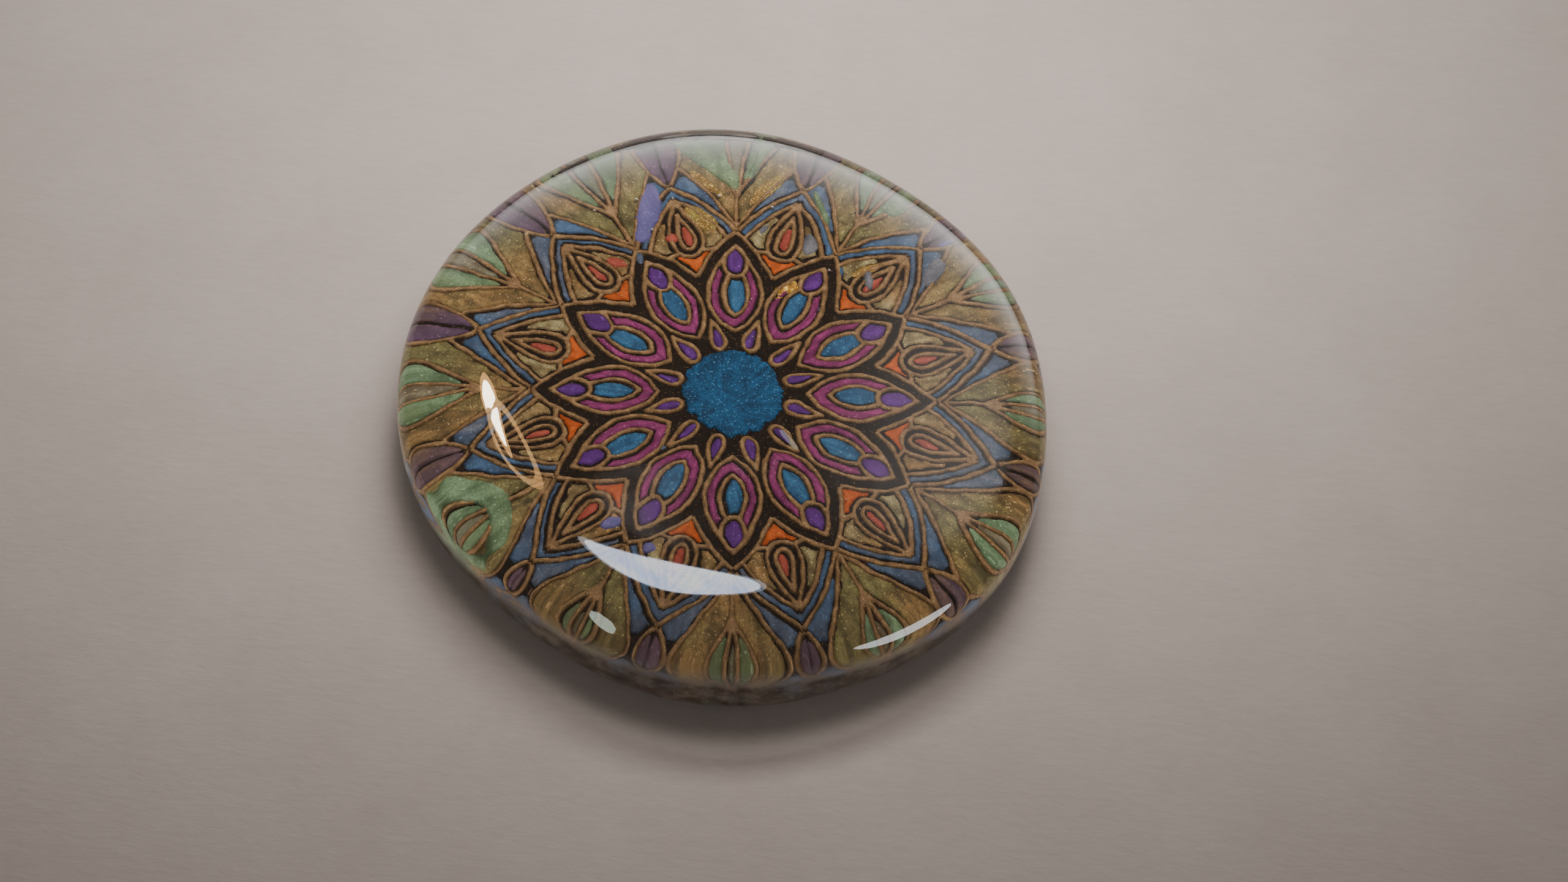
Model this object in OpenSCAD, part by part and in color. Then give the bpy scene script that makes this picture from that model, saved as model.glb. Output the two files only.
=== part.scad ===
/* [Glass] */
// Mean radius of the glass at its widest contour
glass_r = 19; // [17.5:0.5:22]
// Height of the glass from its flat underside to its crown
glass_h = 7.7; // [6.5:0.1:12]
// Height of the widest contour above the flat underside
girdle_h = 3.95; // [3:0.05:5]
// Flat of the underside as a share of the outline
flat_share = 0.905; // [0.88:0.005:0.94]
// How square the shoulder of the dome is, seen along a radius
shoulder_in = 2.95; // [2:0.05:4]
// How square the shoulder of the dome is, seen along the height
shoulder_up = 2.35; // [1.8:0.05:3]
// Roundness of the edge under the widest contour
underside_round = 2.3; // [1.6:0.1:3]
// How far the outline strays from a circle, 0 for a true circle
lumpiness = 1; // [0:0.1:1.5]

/* [Card and adhesive] */
// Thickness of the black card that carries the picture
card_t = 0.5; // [0.3:0.05:1.5]
// Radius of the card, which is round about the centre of the picture
card_r = 17.9; // [17.5:0.1:18.1]
// Share of the glass outline that the card is trimmed to where it would stand out
card_share = 0.975; // [0.95:0.005:0.985]
// Thickness of the clear adhesive between picture and glass
adhesive_t = 0.1; // [0.05:0.01:0.3]
// Width of the adhesive that shows beyond the card
adhesive_rim = 0.1; // [0:0.05:0.2]

/* [Picture] */
// Turn of the picture under the glass, in degrees
picture_turn = 5; // [-15:0.5:15]
// Offset of the picture's centre from the glass centre, to the right
picture_x = 0.37; // [-0.6:0.01:0.6]
// Offset of the picture's centre from the glass centre, to the back
picture_y = 1.15; // [-0.6:0.01:1.2]
// Bare edge of the card outside the painting
bare_rim = 0.1; // [0:0.05:0.4]
// Width of the gold outliner
line_w = 0.3; // [0.2:0.01:0.34]
// Height of the gold outliner above the card
line_t = 0.14; // [0.12:0.01:0.3]
// Thickness of the paint in the cells
paint_t = 0.1; // [0.05:0.01:0.12]
// Bare card left between paint and outliner
paint_gap = 0.08; // [0.02:0.01:0.1]
// Thickness of the fleck of gold leaf
leaf_t = 0.02; // [0.01:0.01:0.05]

/* [Motif radii] */
// Radius of the blue centre
centre_r = 2.9; // [2.6:0.05:3]
// Inner tip of a petal
petal_in = 4.3; // [4.1:0.05:4.5]
// Outer tip of a petal
petal_out = 10.45; // [10.2:0.05:10.6]
// Half width of a petal
petal_w = 1.57; // [1.4:0.01:1.6]
// Radius at which the chevrons of neighbouring kites cross
cross_r = 11.46; // [11.3:0.02:11.6]
// Inner corner of a kite
kite_in = 8.45; // [8.3:0.05:8.6]
// Outer apex of a kite
kite_out = 14.1; // [13.9:0.05:14.2]
// Apex of the blue chevron round a kite
chevron_out = 15; // [14.9:0.05:15.2]

/* [Hidden] */

repeats = 12;
half_step = 180 / repeats;
glass_facets = 72;
dome_rings = 16;
edge_rings = 6;
curve_steps = 6;
loop_steps = 20;
corner_fn = 8;
// Clearance between two groups of lines, and round each of them
line_gap = 0.01;
// Bigger than the card, for the shapes that run off its edge
beyond = 22;

line_top = card_t + line_t;
adhesive_z = line_top + leaf_t;
glass_z = adhesive_z + adhesive_t;

// A wave that runs round the outline, with its crest towards one direction
function wave(a, crests, depth, towards) = depth * cos(crests * (a - towards));

// The outline of the hand-formed glass: an oval with a few shallow lumps
function outline_r(a) = glass_r * (1 + lumpiness * (
    wave(a, 2, 0.018, 125)
    + wave(a, 3, 0.007, -44)
    + wave(a, 4, 0.006, 10)
    + wave(a, 5, 0.005, -30)
    + wave(a, 6, 0.005, 30)));

function outline(share) = [
    for (i = [0 : glass_facets - 1])
        let (a = 360 * i / glass_facets)
            share * outline_r(a) * [cos(a), sin(a)]
];

// The outline is moved so that its box is centred on the origin
widest = outline(1);
mid_x = (max([for (p = widest) p.x]) + min([for (p = widest) p.x])) / 2;
mid_y = (max([for (p = widest) p.y]) + min([for (p = widest) p.y])) / 2;
centred = [-mid_x, -mid_y, 0];

// Each step of the glass profile is [share of the outline, height]
function edge_profile() = [
    for (i = [0 : edge_rings - 1])
        let (
            t = 90 * i / edge_rings,
            out = pow(sin(t), 2 / underside_round),
            up = 1 - pow(cos(t), 2 / underside_round)
        )
            [flat_share + (1 - flat_share) * out, girdle_h * up]
];

function dome_height(share) =
    girdle_h + (glass_h - girdle_h)
        * pow(1 - pow(share, shoulder_in), 1 / shoulder_up);

function dome_profile() = [
    for (i = [0 : dome_rings - 1])
        let (share = pow(cos(90 * i / dome_rings), 0.8))
            [share, dome_height(share)]
];

// A closed lofted solid from rings, with a point in the middle of each end
module loft(profile) {
    n = glass_facets;
    rings = len(profile);
    points = concat(
        [for (step = profile) for (p = outline(step[0])) [p.x, p.y, step[1]]],
        [[0, 0, profile[0][1]], [0, 0, glass_h]]
    );
    bottom = rings * n;
    walls = [
        for (k = [0 : rings - 2]) for (i = [0 : n - 1])
            let (
                a = k * n + i,
                b = k * n + (i + 1) % n
            )
                each [[a, a + n, b + n], [a, b + n, b]]
    ];
    floor_fan = [for (i = [0 : n - 1]) [bottom, i, (i + 1) % n]];
    crown_fan = [
        for (i = [0 : n - 1])
            [bottom + 1, (rings - 1) * n + (i + 1) % n, (rings - 1) * n + i]
    ];
    polyhedron(points = points, faces = concat(walls, floor_fan, crown_fan));
}

// ---- curves that the drawing is made of, in the plane of the card ----

// A smooth bend from a to c that is pulled towards b
function bend(a, b, c) = [
    for (i = [0 : curve_steps])
        let (t = i / curve_steps)
            (1 - t) * (1 - t) * a + 2 * t * (1 - t) * b + t * t * c
];

function flip(points) = [
    for (i = [len(points) - 1 : -1 : 0]) [-points[i].x, points[i].y]
];

// An almond with its points at radii r0 and r1, fuller towards its inner end
function almond(r0, r1, half_w) = let (n = loop_steps / 2) [
    for (i = [0 : 2 * n - 1])
        let (
            t = i <= n ? i / n : (2 * n - i) / n,
            w = half_w * pow(max(0, sin(180 * pow(t, 0.85))), 0.85)
        )
            [i <= n ? w : -w, r0 + (r1 - r0) * t]
];

// A drop with a round inner end at r0 and a point at r1
function drop(r0, r1, half_w) = [
    for (i = [0 : loop_steps - 1])
        let (
            a = 360 * i / loop_steps,
            w = half_w / 0.7 * sin(a) * pow(sin(a / 2), 1.5)
        )
            [w, (r0 + r1) / 2 + (r1 - r0) / 2 * cos(a)]
];

// Both outer edges of a line of the outliner, ready to be a polygon
function ribbon(path, w) =
    let (
        n = len(path) - 1,
        side = [
            for (i = [0 : n])
                let (d = path[min(i + 1, n)] - path[max(i - 1, 0)])
                    [-d.y, d.x] / norm(d) * w / 2
        ]
    )
        concat(
            [for (i = [0 : n]) path[i] + side[i]],
            [for (i = [n : -1 : 0]) path[i] - side[i]]
        );

cross = cross_r * [sin(half_step), cos(half_step)];
kite_side = [2.3, 10.8];
kite_low = bend([0, kite_in], [1.35, 10.35], cross);
kite_low_inner = bend([0, kite_in], [1.15, 10.1], kite_side);
kite_top = bend(kite_side, [1.6, 12.6], [0, kite_out]);
chevron_top = bend(cross, [2.1, 13.2], [0, chevron_out]);
arch_side = bend(cross, [2.85, 12.9], [0.95, 16.2]);
plum_side = bend([0, chevron_out], [0.8, 15.6], [1.5, 18]);
vein_arm = bend([0, 14.1], [0.9, 15.6], [2.6, 17.8]);
vein_stem = [[0, cross_r], [0, 14.1]];
wedge_side = [[0, 14.1], [0.65, 17.8]];
seed = drop(10.4, 13, 0.44);
seed_collar = drop(9.9, 14, 0.95);
collar_tie = [[0.75, 10.2], [1.5, 10.05]];
small_drop = drop(3.1, 5.25, 0.42);
leaf = almond(5.5, 9, 0.73);
dot_r = [0.7, 1.02];
dot_at = [0, 9.28];
// Radii at which a colour stops short of its cell's end
magenta_end = 8.8;
orange_end = 10.1;
coral_end = 12;
lime_end = 12.6;
band_end = 15.5;

// ---- flat shapes ----

module around(first = 0) {
    for (k = [0 : repeats - 1]) rotate(first + k * 360 / repeats - 90) children();
}

module both_sides() {
    children();
    mirror([1, 0]) children();
}

module outlined() {
    difference() {
        offset(r = line_w / 2, $fn = corner_fn) children();
        offset(r = -line_w / 2, $fn = corner_fn) children();
    }
}

module drawn(path) {
    polygon(ribbon(path, line_w));
}

module petal_shape() {
    polygon(almond(petal_in, petal_out, petal_w));
}

module dot_shape() {
    translate(dot_at) scale(dot_r) circle(r = 1, $fn = 20);
}

module above(r) {
    translate([-beyond / 2, r]) square([beyond, beyond]);
}

module kite_shape() {
    half = concat(kite_low_inner, kite_top);
    polygon(concat(half, flip(half)));
}

module chevron_shape() {
    half = concat(kite_low, chevron_top);
    polygon(concat(half, flip(half)));
}

// All that lies inside the outermost pair of lines round one kite
module arch_shape() {
    half = concat([[0, 0], cross], arch_side, [[1.7, 18]]);
    polygon(concat(half, flip(half)));
}

module plum_shape() {
    polygon(concat(plum_side, flip(plum_side)));
}

module blade_shape() {
    polygon(concat(vein_arm, [wedge_side[1]]));
}

module wedge_shape() {
    polygon(concat(wedge_side, flip([wedge_side[1]])));
}

// Everything in the picture turns and shifts together
module in_picture() {
    translate([picture_x, picture_y]) rotate(picture_turn) children();
}

// The card is round, but it never stands out beyond the glass
module card_shape() {
    intersection() {
        in_picture() circle(r = card_r, $fn = 96);
        polygon(outline(card_share));
    }
}

module painted_shape() {
    offset(delta = -bare_rim) card_shape();
}

module layer(z, t) {
    translate(centred + [0, 0, z]) linear_extrude(t) children();
}

// ---- the outliner, one group of lines at a time ----

module drop_lines() {
    around(half_step) outlined() polygon(small_drop);
}

module petal_lines() {
    around() {
        outlined() petal_shape();
        intersection() {
            petal_shape();
            union() {
                difference() {
                    outlined() polygon(leaf);
                    dot_shape();
                }
                outlined() dot_shape();
            }
        }
    }
}

module kite_lines() {
    around(half_step) {
        both_sides() {
            drawn(kite_low);
            drawn(kite_top);
            drawn(collar_tie);
        }
        outlined() polygon(seed);
        intersection() {
            outlined() polygon(seed_collar);
            kite_shape();
        }
    }
}

module chevron_lines() {
    around(half_step) both_sides() drawn(chevron_top);
}

module vein_lines() {
    around(half_step) both_sides() {
        drawn(arch_side);
        drawn(plum_side);
    }
    around() {
        drawn(vein_stem);
        both_sides() {
            drawn(vein_arm);
            drawn(wedge_side);
        }
    }
}

module clear_of_lines() {
    offset(delta = paint_gap) {
        drop_lines();
        petal_lines();
        kite_lines();
        chevron_lines();
        vein_lines();
    }
}

module gold() {
    color([0.62, 0.47, 0.29]) layer(card_t, line_t) offset(delta = -line_gap) intersection() {
        in_picture() children();
        painted_shape();
    }
}

// Paint in one colour, kept clear of every line
module paint(tint) {
    color(tint) layer(card_t, paint_t) offset(delta = -line_gap) difference() {
        intersection() {
            in_picture() children();
            painted_shape();
        }
        in_picture() clear_of_lines();
    }
}

// ---- the sub-parts ----

module glass_gem() {
    color([0.86, 0.92, 0.93, 0.35]) translate(centred + [0, 0, glass_z])
        loft(concat(edge_profile(), dome_profile()));
}

module adhesive_film() {
    color([0.9, 0.92, 0.88, 0.4]) layer(adhesive_z, adhesive_t)
        offset(delta = adhesive_rim) card_shape();
}

module picture_card() {
    color([0.11, 0.09, 0.08]) layer(0, card_t) offset(delta = 0) card_shape();
}

// Each group of lines gives way to the groups that were drawn before it
module gold_drop_rings() {
    gold() drop_lines();
}

module gold_petal_lines() {
    gold() difference() {
        petal_lines();
        drop_lines();
    }
}

module gold_kite_lines() {
    gold() difference() {
        kite_lines();
        petal_lines();
    }
}

module gold_chevron_lines() {
    gold() difference() {
        chevron_lines();
        kite_lines();
    }
}

module gold_vein_lines() {
    gold() difference() {
        vein_lines();
        chevron_lines();
        kite_lines();
    }
}

module gold_leaf_fleck() {
    color([0.95, 0.7, 0.25]) layer(line_top, leaf_t) in_picture()
        polygon([[2.3, 6.7], [2.9, 6.6], [3.3, 7.3], [4, 7.6], [3.4, 8.2], [2.7, 7.9], [2.6, 7.2]]);
}

module paint_centre_blue() {
    paint([0.12, 0.41, 0.55]) union() {
        circle(r = centre_r - 0.12, $fn = 48);
        around() translate([0, centre_r - 0.5]) circle(r = 0.5, $fn = 16);
    }
}

module paint_drop_violet() {
    paint([0.33, 0.18, 0.53]) around(half_step) polygon(small_drop);
}

module paint_petal_magenta() {
    paint([0.59, 0.2, 0.47]) around() difference() {
        petal_shape();
        polygon(leaf);
        dot_shape();
        above(magenta_end);
    }
}

module paint_leaf_teal() {
    paint([0.1, 0.45, 0.59]) around() difference() {
        polygon(leaf);
        dot_shape();
    }
}

module paint_dot_purple() {
    paint([0.33, 0.18, 0.53]) around() dot_shape();
}

module paint_kite_orange() {
    paint([0.8, 0.35, 0.16]) around(half_step) difference() {
        kite_shape();
        polygon(seed_collar);
        above(orange_end);
    }
}

module paint_seed_coral() {
    paint([0.8, 0.29, 0.25]) around(half_step) difference() {
        polygon(seed);
        above(coral_end);
    }
}

module paint_kite_lime() {
    paint([0.65, 0.61, 0.35]) around(half_step) difference() {
        intersection() {
            kite_shape();
            above(orange_end);
        }
        polygon(seed_collar);
        above(lime_end);
    }
}

module paint_chevron_blue() {
    paint([0.24, 0.4, 0.65]) around(half_step) difference() {
        chevron_shape();
        kite_shape();
    }
}

module paint_band_blue() {
    paint([0.24, 0.4, 0.65]) difference() {
        around(half_step) difference() {
            arch_shape();
            plum_shape();
            above(band_end);
        }
        around(half_step) chevron_shape();
        around() petal_shape();
        circle(r = cross_r + 0.2, $fn = 48);
    }
}

module paint_arch_plum() {
    paint([0.33, 0.24, 0.33]) around(half_step) difference() {
        plum_shape();
        translate([-line_w / 2, 0]) square([line_w, beyond]);
    }
}

module paint_arch_olive() {
    paint([0.49, 0.43, 0.22]) difference() {
        circle(r = beyond, $fn = 48);
        circle(r = cross_r + 0.5, $fn = 48);
        around(half_step) arch_shape();
        around() {
            both_sides() blade_shape();
            wedge_shape();
        }
    }
}

module paint_blade_mint() {
    paint([0.47, 0.65, 0.49]) around() both_sides() difference() {
        blade_shape();
        wedge_shape();
    }
}

module paint_wedge_tan() {
    paint([0.55, 0.42, 0.27]) around() wedge_shape();
}

glass_gem();
adhesive_film();
picture_card();
gold_drop_rings();
gold_petal_lines();
gold_kite_lines();
gold_chevron_lines();
gold_vein_lines();
gold_leaf_fleck();
paint_centre_blue();
paint_drop_violet();
paint_petal_magenta();
paint_leaf_teal();
paint_dot_purple();
paint_kite_orange();
paint_seed_coral();
paint_kite_lime();
paint_chevron_blue();
paint_band_blue();
paint_arch_plum();
paint_arch_olive();
paint_blade_mint();
paint_wedge_tan();
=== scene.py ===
"""A low dome of clear glass over a hand-painted mandala on black card, lying on pale paper.

The drawing's outlines come from the CAD nodes. Here they get a hand's wobble, raised
beads of outliner, crowned and grainy paint, and the slips that a painter leaves.
"""

import math
import random

import bpy
import numpy as np
from mathutils import Matrix, Vector, kdtree, noise
from mathutils.geometry import delaunay_2d_cdt


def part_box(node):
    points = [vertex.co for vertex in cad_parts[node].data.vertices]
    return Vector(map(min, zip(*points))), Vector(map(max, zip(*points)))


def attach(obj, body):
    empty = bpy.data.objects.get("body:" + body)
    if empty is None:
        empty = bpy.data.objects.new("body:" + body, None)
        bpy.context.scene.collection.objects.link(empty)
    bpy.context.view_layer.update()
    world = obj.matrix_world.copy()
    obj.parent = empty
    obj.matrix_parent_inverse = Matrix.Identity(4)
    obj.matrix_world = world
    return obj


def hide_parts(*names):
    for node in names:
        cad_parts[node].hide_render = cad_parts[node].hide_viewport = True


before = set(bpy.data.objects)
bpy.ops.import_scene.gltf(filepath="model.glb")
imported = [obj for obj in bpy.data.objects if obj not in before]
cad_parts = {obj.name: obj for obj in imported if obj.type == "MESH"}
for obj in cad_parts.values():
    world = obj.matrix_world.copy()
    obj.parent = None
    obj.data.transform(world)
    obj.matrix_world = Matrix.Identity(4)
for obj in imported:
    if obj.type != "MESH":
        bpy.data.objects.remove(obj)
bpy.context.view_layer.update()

MM = 0.001

# ---- sizes, in millimetres unless they say otherwise ----

_, CARD_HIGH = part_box("picture_card")
GLASS_LOW, GLASS_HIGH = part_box("glass_gem")

CARD_TOP = CARD_HIGH.z / MM

# The glass follows the same oval, lumps and profile as the CAD solid
GLASS_R = 19.0
FLAT_SHARE = 0.905
GIRDLE = 3.95
SHOULDER_IN = 2.95
SHOULDER_UP = 2.35
UNDERSIDE_ROUND = 2.3
WAVES = ((2, 0.018, 125), (3, 0.007, -44), (4, 0.006, 10), (5, 0.005, -30), (6, 0.005, 30))
# The melted surface sinks up to this much here and there, in hollows about this wide
SINK = 0.05
SINK_WIDE = 6.5
GLASS_BASE = GLASS_LOW.z / MM
GLASS_TOP = GLASS_HIGH.z / MM
# The picture's centre from the glass's centre, and its turn in degrees
PICTURE_OFF = np.array([0.37, 1.15])
PICTURE_TURN = 5.0
# How far the camera's aim is from the glass's centre, along X and Y
AIM_OFF = (3.58, 0.25)
# The clear body starts just inside the card, so that the picture sits in it with no air between
CLEAR_FLOOR = CARD_TOP - 0.02
# The bubbles float just above the drawing
BUBBLES_AT = CARD_TOP + 0.18

# The near part of the picture that painted shade darkens towards brown: where along Y it is full and
# where it ends
NEAR_SHADE_SPAN = (-17.5, -6.0)
NEAR_SHADE_MOST = 0.62
# Radius at which brush strokes have their stated width, and how much longer than wide they are
STROKE_R = 13.0
STROKE_STRETCH = 5.0
# Height of the upper edge of the painted shade on the glass at the near side and at the far side
GLASS_SHADE_TOP = (6.0, -0.4)
# How far the painted shade's edge takes to fade
GLASS_SHADE_FADE = 1.6
# Heights between which the glass's wall starts to let light out to the floor, and the least share
# of light that it lets out
SHADED = (1.2, 3.4)
SHADED_LEAST = 0.12
GLASS_TINT = (0.985, 0.995, 0.99)
# How far the drawing's solids reach into the card
SUNK = 0.01
# The hand's slow sway and small tremor: how far they go, and how wide one of their waves is
SWAY = (0.16, 3.2)
TREMOR = (0.08, 0.9)
# How far a cell strays from its place and its size, as a spread of random draws
OFF_PLACE = 0.05
OFF_SIZE = 0.025
# The outliner's height and half its width, and the paint's thickness
LINE_T = 0.14
LINE_HALF = 0.15
PAINT_T = 0.09
# Distances between mesh points along a line and its ridges' depths, along a cell's edge and across
# a cell, and across a later dab
LINE_STEP = 0.07
RIDGES = (0.07, 0.145)
LINE_GAP = 0.055
CELL_STEP = 0.09
CELL_GRID = 0.15
CELL_GAP = 0.1
DAB_GRID = 0.13
DAB_GAP = 0.09
# Widths over which the paint's edge and a later coat's edge slope up
PAINT_EDGE = 0.14
COAT_EDGE = 0.1
# The drawing stays this far inside the card's edge
CARD_MARGIN = 0.04
# How far the glowing panels and the dome of light are from the object, in metres
REFLECTED_FROM = 0.5
VEIL_FROM = 0.7
# A light's dimmer edge is a larger panel this much further back
EDGE_BACK = 0.02
SKY_BLUE = (0.55, 0.68, 1.0)
# The dome's low glow is brightest in this direction
REAR_WAY = (0.13, 0.99, 0.0)


# ---- small helpers ----

def wave_r(angle):
    """Radius of the glass outline at an angle in radians."""
    lumps = sum(depth * np.cos(crests * (angle - math.radians(towards)))
                for crests, depth, towards in WAVES)
    return GLASS_R * (1 + lumps)


def glass_centre():
    """The centre that the outline's radii are measured from."""
    turn = np.linspace(0, 2 * math.pi, 72, endpoint=False)
    x, y = wave_r(turn) * np.cos(turn), wave_r(turn) * np.sin(turn)
    mid = np.array([x.max() + x.min(), y.max() + y.min()]) / 2
    box_mid = np.array([GLASS_LOW.x + GLASS_HIGH.x, GLASS_LOW.y + GLASS_HIGH.y]) / 2 / MM
    return box_mid - mid


GLASS_AT = glass_centre()
PICTURE_AT = GLASS_AT + PICTURE_OFF


def from_picture(points):
    """From the picture's own frame, with a petal at each 30 degrees, to the object's frame."""
    c, s = math.cos(math.radians(PICTURE_TURN)), math.sin(math.radians(PICTURE_TURN))
    return np.asarray(points, float) @ np.array([[c, s], [-s, c]]) + PICTURE_AT


def field(points, size, seed):
    """Smooth noise from -1 to 1 at flat points, in which one feature is about size wide."""
    return np.array([noise.noise(Vector((x / size, y / size, seed))) for x, y in points])


def new_mesh(name, points, faces, material):
    """A piece that rides on the body, from points in millimetres."""
    mesh = bpy.data.meshes.new(name)
    mesh.from_pydata([tuple(MM * c for c in p) for p in points], [], faces)
    mesh.validate()
    mesh.polygons.foreach_set("use_smooth", [True] * len(mesh.polygons))
    mesh.materials.append(material)
    piece = bpy.data.objects.new(name, mesh)
    bpy.context.scene.collection.objects.link(piece)
    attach(piece, "root")
    return piece


# ---- node materials ----

class Nodes:
    """A material's node tree, with short ways to add to it."""

    def __init__(self, name):
        self.material = bpy.data.materials.new(name)
        self.material.use_nodes = True
        self.tree = self.material.node_tree
        self.shader = self.tree.nodes["Principled BSDF"]
        self.output = self.tree.nodes["Material Output"]
        self.place = self.add("ShaderNodeTexCoord").outputs["Object"]

    def add(self, kind, **settings):
        node = self.tree.nodes.new(kind)
        for key, value in settings.items():
            setattr(node, key, value)
        return node

    def link(self, start, end):
        self.tree.links.new(start, end)

    def noise(self, size, detail=3.0, rough=0.6, seed=0.0, at=None):
        """Noise whose features are about size millimetres wide, at these places or the piece's own."""
        node = self.add("ShaderNodeTexNoise", noise_dimensions="4D")
        self.link(self.place if at is None else at, node.inputs["Vector"])
        node.inputs["W"].default_value = seed
        node.inputs["Scale"].default_value = 1 / (size * MM)
        node.inputs["Detail"].default_value = detail
        node.inputs["Roughness"].default_value = rough
        return node.outputs["Fac"]

    def drawn_out(self, times):
        """Places that make noise some times as long along X as along Y."""
        node = self.add("ShaderNodeMapping")
        node.inputs["Scale"].default_value = (1 / times, 1, 1)
        self.link(self.place, node.inputs["Vector"])
        return node.outputs["Vector"]

    def parts(self, vector):
        """The three components of a vector."""
        node = self.add("ShaderNodeSeparateXYZ")
        self.link(vector, node.inputs["Vector"])
        return node.outputs["X"], node.outputs["Y"], node.outputs["Z"]

    def sums(self, how, first, second):
        """A sum, product or other result of two values."""
        node = self.add("ShaderNodeMath", operation=how)
        for value, socket in zip((first, second), node.inputs):
            if isinstance(value, float):
                socket.default_value = value
            else:
                self.link(value, socket)
        return node.outputs["Value"]

    def along(self, vector, way):
        """How far a vector reaches along a fixed direction."""
        node = self.add("ShaderNodeVectorMath", operation="DOT_PRODUCT")
        self.link(vector, node.inputs[0])
        node.inputs[1].default_value = way
        return node.outputs["Value"]

    def soft(self, value, start, end, low=0.0, high=1.0):
        """Goes gently from low to high as a value goes from start to end."""
        node = self.add("ShaderNodeMapRange", interpolation_type="SMOOTHSTEP")
        self.link(value, node.inputs["Value"])
        ends = {"From Min": start, "From Max": end, "To Min": low, "To Max": high}
        for socket, amount in ends.items():
            node.inputs[socket].default_value = amount
        return node.outputs["Result"]

    def strokes(self, size, seed):
        """Noise like brush strokes, about size millimetres wide, that run out from the middle."""
        x, y, _ = self.parts(self.place)
        out = self.add("ShaderNodeVectorMath", operation="LENGTH")
        self.link(self.place, out.inputs[0])
        drawn = self.add("ShaderNodeCombineXYZ")
        turn = self.sums("ARCTAN2", y, x)
        self.link(self.sums("MULTIPLY", turn, STROKE_R * MM), drawn.inputs["X"])
        self.link(self.sums("MULTIPLY", out.outputs["Value"], 1 / STROKE_STRETCH), drawn.inputs["Y"])
        return self.noise(size, rough=0.5, seed=seed, at=drawn.outputs["Vector"])

    def grains(self, size):
        """One random value for each grain about size millimetres wide."""
        cells = self.add("ShaderNodeTexVoronoi")
        self.link(self.place, cells.inputs["Vector"])
        cells.inputs["Scale"].default_value = 1 / (size * MM)
        parts = self.add("ShaderNodeSeparateColor")
        self.link(cells.outputs["Color"], parts.inputs["Color"])
        return parts.outputs["Red"]

    def ramp(self, value, *stops):
        """A colour ramp, with stops of a level and a colour."""
        node = self.add("ShaderNodeValToRGB")
        self.link(value, node.inputs["Fac"])
        points = node.color_ramp.elements
        while len(points) < len(stops):
            points.new(1.0)
        for point, (at, colour) in zip(points, stops):
            point.position = at
            point.color = (*colour, 1.0)
        return node.outputs["Color"]

    def mix(self, amount, a, b, how="MIX"):
        """Mixes two colours, each a socket or fixed."""
        node = self.add("ShaderNodeMix", data_type="RGBA", blend_type=how)
        for name, value in (("Factor", amount), ("A", a), ("B", b)):
            socket = node.inputs[name]
            if isinstance(value, (int, float)):
                socket.default_value = value
            elif isinstance(value, tuple):
                socket.default_value = (*value, 1.0)
            else:
                self.link(value, socket)
        return node.outputs["Result"]

    def bump(self, height, strength, depth):
        """Bump whose full height is depth millimetres."""
        node = self.add("ShaderNodeBump")
        node.inputs["Strength"].default_value = strength
        node.inputs["Distance"].default_value = depth * MM
        self.link(height, node.inputs["Height"])
        self.link(node.outputs["Normal"], self.shader.inputs["Normal"])

    def painted_near_shade(self, colour):
        """Painted shade: darkens a colour towards brown along the near edge of the picture, in broken
        patches.
        """
        _, y, _ = self.parts(self.place)
        full, none = NEAR_SHADE_SPAN
        near = self.soft(y, full * MM, none * MM, NEAR_SHADE_MOST, 0.0)
        broken = self.ramp(self.noise(2.5, 3, 0.6, 4.0), (0.3, grey(0.6)), (0.7, grey(1.0)))
        return self.mix(self.mix(1.0, near, broken, "MULTIPLY"), colour, (0.05, 0.03, 0.012))

    def finish(self, colour, metallic, roughness, gloss=0.5):
        """Sets what is the same all over the surface, and gives the material."""
        self.link(colour, self.shader.inputs["Base Color"])
        self.shader.inputs["Specular IOR Level"].default_value = gloss
        self.shader.inputs["Metallic"].default_value = metallic
        self.shader.inputs["Roughness"].default_value = roughness
        return self.material


def grey(value):
    """A colour without hue, from one level."""
    return (value, value, value)


def pearl_paint(name, deep, body, glint, other=None, plain=0.95):
    """Mica paint: brushed light and dark, grainy, with single flakes painted in a bright glint colour
    as painted glints.

    other is a second colour that the first drifts into here and there. plain is the share of
    the grains that are not bright flakes.
    """
    n = Nodes(name)
    if other:
        drift = n.ramp(n.noise(4.5, 3, 0.55, 9.0), (0.42, grey(0.0)), (0.6, grey(1.0)))
        body = n.mix(drift, body, other)
    streaks = n.ramp(n.strokes(0.55, 6.0), (0.36, grey(0.75)), (0.6, grey(0.0)))
    brushing = n.ramp(n.noise(0.9, 4, 0.65), (0.32, grey(0.95)), (0.56, grey(0.0)))
    grain = n.ramp(n.noise(0.09, 2, 0.7, 3.0), (0.36, grey(0.6)), (0.6, grey(0.0)))
    for dark in (streaks, brushing, grain):
        body = n.mix(dark, body, deep)
    # Painted glints: a few grains take the bright glint colour, whatever the light
    flakes = n.ramp(n.grains(0.07), (plain, grey(0.0)), (min(plain + 0.05, 1.0), grey(0.5)))
    n.bump(n.noise(0.12, 3, 0.7, 7.0), 0.5, 0.02)
    # The paint's colour takes painted shade towards the near edge
    return n.finish(n.painted_near_shade(n.mix(flakes, body, glint)), metallic=0.15, roughness=0.55, gloss=0.15)


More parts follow.
